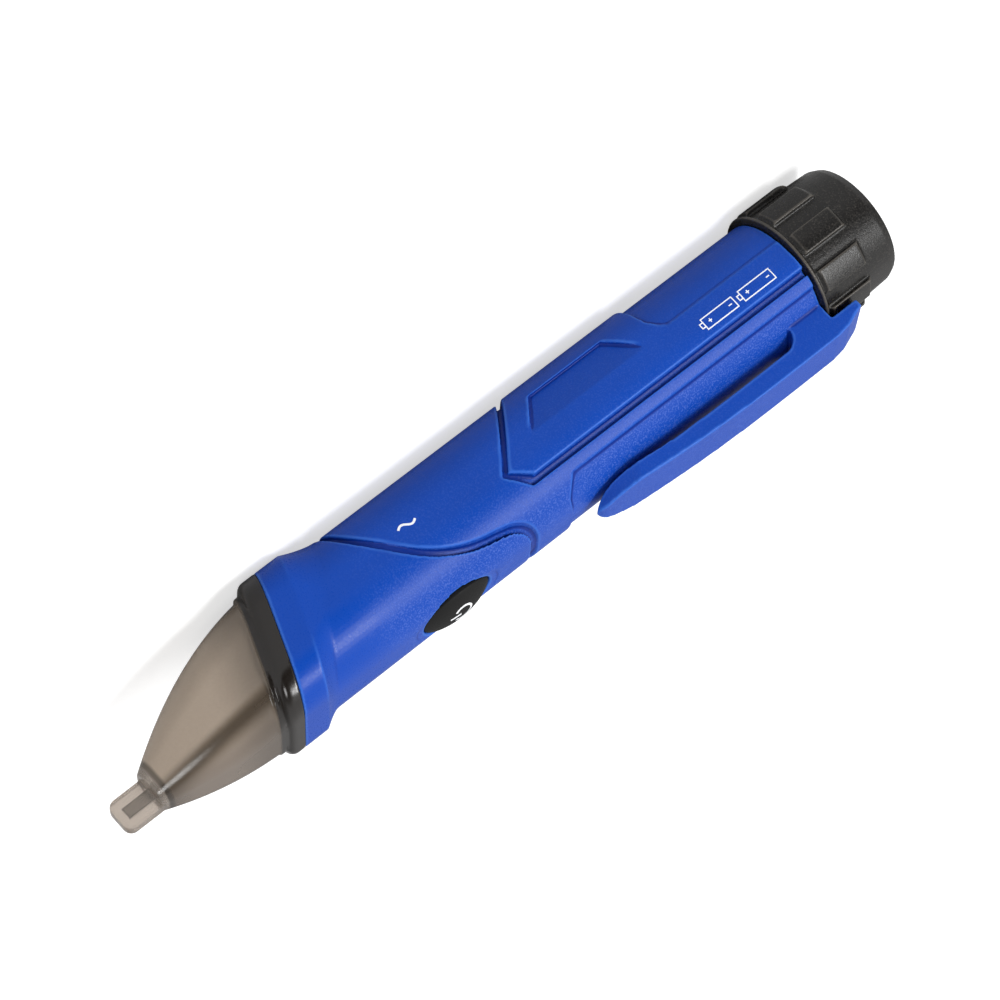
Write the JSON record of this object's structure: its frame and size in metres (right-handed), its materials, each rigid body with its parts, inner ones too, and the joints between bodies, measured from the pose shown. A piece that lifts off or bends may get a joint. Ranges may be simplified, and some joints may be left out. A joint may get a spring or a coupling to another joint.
{
  "type": "non contact voltage tester",
  "caption": "Pen-shaped non-contact voltage tester with a blade-tipped clear nose, oval push button, pocket clip and screw-on battery cap.",
  "frame": {"origin": "centre of the flat end face of the battery cap", "axes": "+X runs along the pen towards the sensing blade; +Z points to the side with the button and the pocket clip"},
  "size_m": [0.16, 0.0244, 0.0281],
  "materials": {
    "blue_shell": "fine moulded grain",
    "smoke_nose": "polished smoke tint",
    "dark_strip": "satin",
    "black_cap": "satin moulded",
    "seal_rubber": "matt",
    "plated_steel": "nickel plated",
    "cell_jacket": "printed jacket",
    "white_carrier": "moulded",
    "board_green": "solder mask",
    "chip_black": "moulded epoxy",
    "ceramic_tan": "ceramic",
    "zinc_steel": "zinc plated",
    "red_lens": "tinted epoxy",
    "green_lens": "tinted epoxy",
    "brass_disc": "rolled",
    "button_rubber": "matt",
    "switch_plastic": "moulded",
    "switch_plunger": "moulded"
  },
  "bodies": {
    "barrel": {"body_shell": "blue_shell", "nose_cover": "smoke_nose", "sensor_antenna": "dark_strip", "battery_rear": "cell_jacket", "battery_front": "cell_jacket", "positive_contact": "plated_steel", "return_strip": "plated_steel", "inner_chassis": "white_carrier", "main_board": "board_green", "detector_chip": "chip_black", "amplifier_chip": "chip_black", "chip_capacitors": "ceramic_tan", "chip_resistors": "chip_black", "board_screws": "zinc_steel", "signal_led": "red_lens", "power_led": "green_lens", "buzzer_case": "chip_black", "buzzer_disc": "brass_disc", "switch_housing": "switch_plastic"},
    "cap": {"battery_cap": "black_cap", "cap_contact": "plated_steel", "battery_spring": "plated_steel"},
    "seal": {"cap_seal": "seal_rubber"},
    "button": {"power_button": "button_rubber"},
    "plunger": {"switch_plunger": "switch_plunger"}
  },
  "joints": [
    {"name": "button_press", "type": "slide", "parent": "barrel", "child": "button", "axis": [0, 0, -1], "range_m": [0, 0.0006], "stiffness_N_per_m": 200},
    {"name": "switch_press", "type": "slide", "parent": "barrel", "child": "plunger", "axis": [0, 0, -1], "range_m": [0, 0.0003]},
    {"name": "cap_travel", "type": "slide", "parent": "barrel", "child": "seal", "axis": [-1, 0, 0], "range_m": [0, 0.003]},
    {"name": "cap_turn", "type": "hinge", "parent": "seal", "child": "cap", "pos_m": [0, 0, 0], "axis": [-1, 0, 0], "range_deg": [0, 720]}
  ],
  "couplings": [
    {"joint": "switch_press", "follows": "button_press", "ratio": 0.5},
    {"joint": "cap_travel", "follows": "cap_turn", "m_per_rad": 0.0002387}
  ]
}
